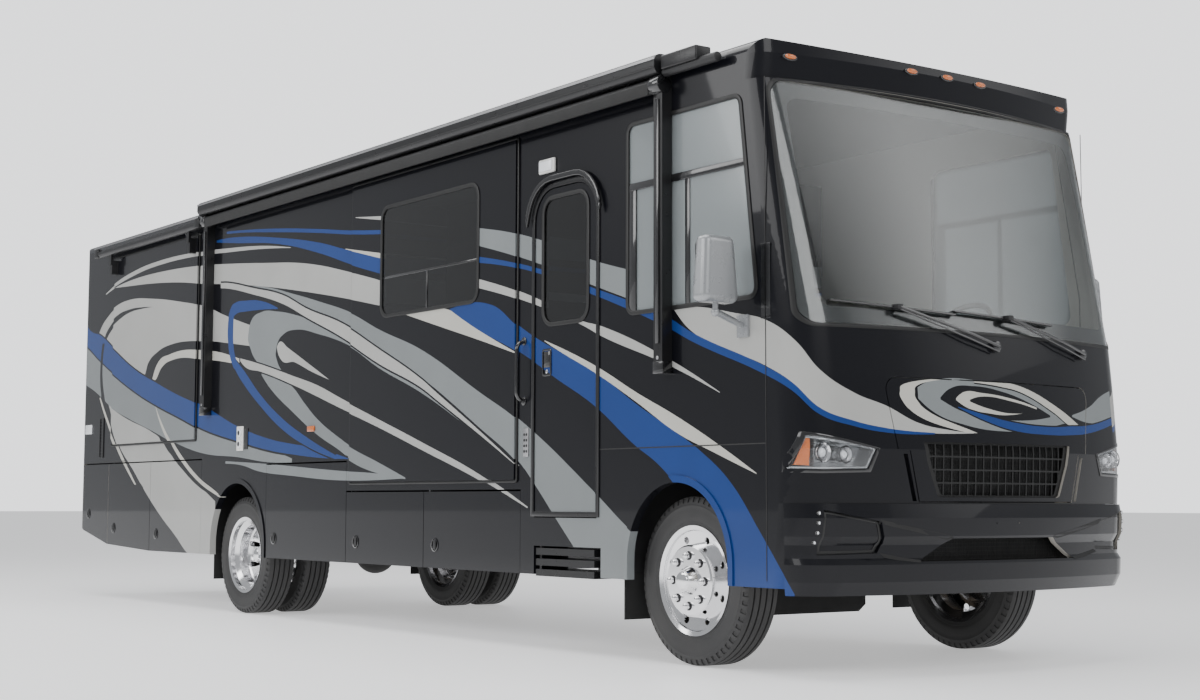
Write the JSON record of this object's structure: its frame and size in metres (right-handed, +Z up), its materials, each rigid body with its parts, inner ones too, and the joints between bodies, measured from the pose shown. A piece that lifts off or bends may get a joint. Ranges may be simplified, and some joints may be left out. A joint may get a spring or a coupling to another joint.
{
  "type": "motorhome",
  "caption": "Full-size bus-style motorhome with a flat raked windscreen, slide-out rooms, side luggage doors, an entry door, steered front wheels and twin rear wheels.",
  "frame": {"origin": "on the ground, under the middle of the overall length and width", "axes": "+X forward, +Y to the vehicle's left, +Z up"},
  "size_m": [10.6998, 3.245, 3.7903],
  "materials": {
    "body_paint": "deep gloss charcoal with grey, white and blue sweeps",
    "chassis_black": "satin black paint",
    "engine_grey": "cast and painted",
    "tank_plastic": "moulded",
    "floor_board": "sealed board",
    "bay_lining": "plain sheet",
    "black_plastic": "textured",
    "roof_skin": "smooth sheet",
    "clear_glass": "laminated",
    "tinted_glass": "dark tint",
    "lamp_glass": "clear lens",
    "lamp_housing": "dark moulding with bright bowls",
    "red_lens": "clear red lens",
    "mirror_shell": "silver paint",
    "black_aluminium": "black powder coat",
    "white_plastic": "smooth",
    "flap_rubber": "smooth sheet",
    "dash_vinyl": "soft grained",
    "seat_leather": "soft",
    "wheel_leather": "smooth",
    "grille_mesh": "fine mesh",
    "tyre_rubber": "treaded",
    "polished_wheel": "polished"
  },
  "bodies": {
    "root": {"chassis_frame": "chassis_black", "engine": "engine_grey", "front_axle": "chassis_black", "rear_axle": "chassis_black", "tanks": "tank_plastic", "floor": "floor_board", "baggage_bays": "bay_lining", "wheel_houses": "black_plastic", "right_side_wall": "body_paint", "left_side_wall": "body_paint", "fenders": "body_paint", "roof": "roof_skin", "front_cap": "body_paint", "rear_cap": "body_paint", "windscreen": "clear_glass", "side_glass": "tinted_glass", "headlights": "lamp_glass", "headlight_housings": "lamp_housing", "tail_lights": "red_lens", "front_bumper": "body_paint", "mirrors": "mirror_shell", "patio_awning": "black_aluminium", "roof_units": "white_plastic", "mud_flaps": "flap_rubber", "entry_steps": "black_aluminium", "dashboard": "dash_vinyl", "seats": "seat_leather", "seat_bases": "chassis_black"},
    "entry_door": {"entry_door": "body_paint", "entry_door_glass": "tinted_glass"},
    "hood": {"hood_panel": "body_paint", "grille": "grille_mesh"},
    "galley_slide": {"galley_slide": "body_paint", "galley_slide_glass": "tinted_glass"},
    "bedroom_slide": {"bedroom_slide": "body_paint", "slide_topper": "black_aluminium"},
    "sofa_slide": {"sofa_slide": "body_paint", "sofa_slide_glass": "tinted_glass"},
    "steering_wheel": {"steering_wheel": "wheel_leather"},
    "right_bay_door_1": {"right_bay_door_1": "body_paint"},
    "right_bay_door_2": {"right_bay_door_2": "body_paint"},
    "right_bay_door_3": {"right_bay_door_3": "body_paint"},
    "right_bay_door_4": {"right_bay_door_4": "body_paint"},
    "right_bay_door_5": {"right_bay_door_5": "body_paint"},
    "right_bay_door_6": {"right_bay_door_6": "body_paint"},
    "left_bay_door_1": {"left_bay_door_1": "body_paint"},
    "left_bay_door_2": {"left_bay_door_2": "body_paint"},
    "left_bay_door_3": {"left_bay_door_3": "body_paint"},
    "left_bay_door_4": {"left_bay_door_4": "body_paint"},
    "left_bay_door_5": {"left_bay_door_5": "body_paint"},
    "knuckle_left": {"knuckle_left": "chassis_black"},
    "front_wheel_left": {"front_tyre_left": "tyre_rubber", "front_rim_left": "polished_wheel"},
    "rear_wheels_left": {"rear_tyres_left": "tyre_rubber", "rear_rims_left": "polished_wheel"},
    "knuckle_right": {"knuckle_right": "chassis_black"},
    "front_wheel_right": {"front_tyre_right": "tyre_rubber", "front_rim_right": "polished_wheel"},
    "rear_wheels_right": {"rear_tyres_right": "tyre_rubber", "rear_rims_right": "polished_wheel"}
  },
  "joints": [
    {"name": "steer_left", "type": "hinge", "parent": "root", "child": "knuckle_left", "pos_m": [4.08, 0.96, 0.4735], "axis": [0, 0, 1], "range_deg": [-38, 38]},
    {"name": "front_wheel_spin_left", "type": "hinge", "parent": "knuckle_left", "child": "front_wheel_left", "pos_m": [4.08, 1.057, 0.4735], "axis": [0, 1, 0], "continuous": true},
    {"name": "rear_wheels_spin_left", "type": "hinge", "parent": "root", "child": "rear_wheels_left", "pos_m": [-1.711, 0.95, 0.4735], "axis": [0, 1, 0], "continuous": true},
    {"name": "steer_right", "type": "hinge", "parent": "root", "child": "knuckle_right", "pos_m": [4.08, -0.96, 0.4735], "axis": [0, 0, 1], "range_deg": [-38, 38]},
    {"name": "front_wheel_spin_right", "type": "hinge", "parent": "knuckle_right", "child": "front_wheel_right", "pos_m": [4.08, -1.057, 0.4735], "axis": [0, 1, 0], "continuous": true},
    {"name": "rear_wheels_spin_right", "type": "hinge", "parent": "root", "child": "rear_wheels_right", "pos_m": [-1.711, -0.95, 0.4735], "axis": [0, 1, 0], "continuous": true},
    {"name": "steering_wheel_turn", "type": "hinge", "parent": "root", "child": "steering_wheel", "pos_m": [4.41, 0.64, 1.965], "axis": [-0.6157, 0, 0.788], "range_deg": [-608, 608]},
    {"name": "entry_door_hinge", "type": "hinge", "parent": "root", "child": "entry_door", "pos_m": [3.31, -1.289, 1.8], "axis": [0, 0, 1], "range_deg": [0, 100]},
    {"name": "hood_hinge", "type": "hinge", "parent": "root", "child": "hood", "pos_m": [5.304, 0, 1.57], "axis": [0, -1, 0], "range_deg": [0, 80]},
    {"name": "right_bay_door_1_hinge", "type": "hinge", "parent": "root", "child": "right_bay_door_1", "pos_m": [-4.593, -1.289, 0.8], "axis": [0, 0, 1], "range_deg": [0, 90]},
    {"name": "right_bay_door_2_hinge", "type": "hinge", "parent": "root", "child": "right_bay_door_2", "pos_m": [-3.563, -1.289, 0.8], "axis": [0, 0, 1], "range_deg": [0, 90]},
    {"name": "right_bay_door_3_hinge", "type": "hinge", "parent": "root", "child": "right_bay_door_3", "pos_m": [-2.433, -1.289, 0.8], "axis": [0, 0, 1], "range_deg": [0, 90]},
    {"name": "right_bay_door_4_hinge", "type": "hinge", "parent": "root", "child": "right_bay_door_4", "pos_m": [0.177, -1.289, 0.8], "axis": [0, 0, 1], "range_deg": [0, 90]},
    {"name": "right_bay_door_5_hinge", "type": "hinge", "parent": "root", "child": "right_bay_door_5", "pos_m": [1.297, -1.289, 0.8], "axis": [0, 0, 1], "range_deg": [0, 90]},
    {"name": "right_bay_door_6_hinge", "type": "hinge", "parent": "root", "child": "right_bay_door_6", "pos_m": [2.497, -1.289, 0.8], "axis": [0, 0, 1], "range_deg": [0, 90]},
    {"name": "left_bay_door_1_hinge", "type": "hinge", "parent": "root", "child": "left_bay_door_1", "pos_m": [-3.843, 1.289, 0.8], "axis": [0, 0, -1], "range_deg": [0, 90]},
    {"name": "left_bay_door_2_hinge", "type": "hinge", "parent": "root", "child": "left_bay_door_2", "pos_m": [-2.433, 1.289, 0.8], "axis": [0, 0, -1], "range_deg": [0, 90]},
    {"name": "left_bay_door_3_hinge", "type": "hinge", "parent": "root", "child": "left_bay_door_3", "pos_m": [0.177, 1.289, 0.8], "axis": [0, 0, -1], "range_deg": [0, 90]},
    {"name": "left_bay_door_4_hinge", "type": "hinge", "parent": "root", "child": "left_bay_door_4", "pos_m": [1.417, 1.289, 0.8], "axis": [0, 0, -1], "range_deg": [0, 90]},
    {"name": "left_bay_door_5_hinge", "type": "hinge", "parent": "root", "child": "left_bay_door_5", "pos_m": [2.657, 1.289, 0.8], "axis": [0, 0, -1], "range_deg": [0, 90]},
    {"name": "galley_slide_travel", "type": "slide", "parent": "root", "child": "galley_slide", "axis": [0, -1, 0], "range_m": [0, 0.65]},
    {"name": "bedroom_slide_travel", "type": "slide", "parent": "root", "child": "bedroom_slide", "axis": [0, -1, 0], "range_m": [0, 0.65]},
    {"name": "sofa_slide_travel", "type": "slide", "parent": "root", "child": "sofa_slide", "axis": [0, 1, 0], "range_m": [0, 0.65]}
  ],
  "couplings": [
    {"joint": "steer_right", "follows": "steer_left", "ratio": 1},
    {"joint": "steering_wheel_turn", "follows": "steer_left", "ratio": 16}
  ]
}
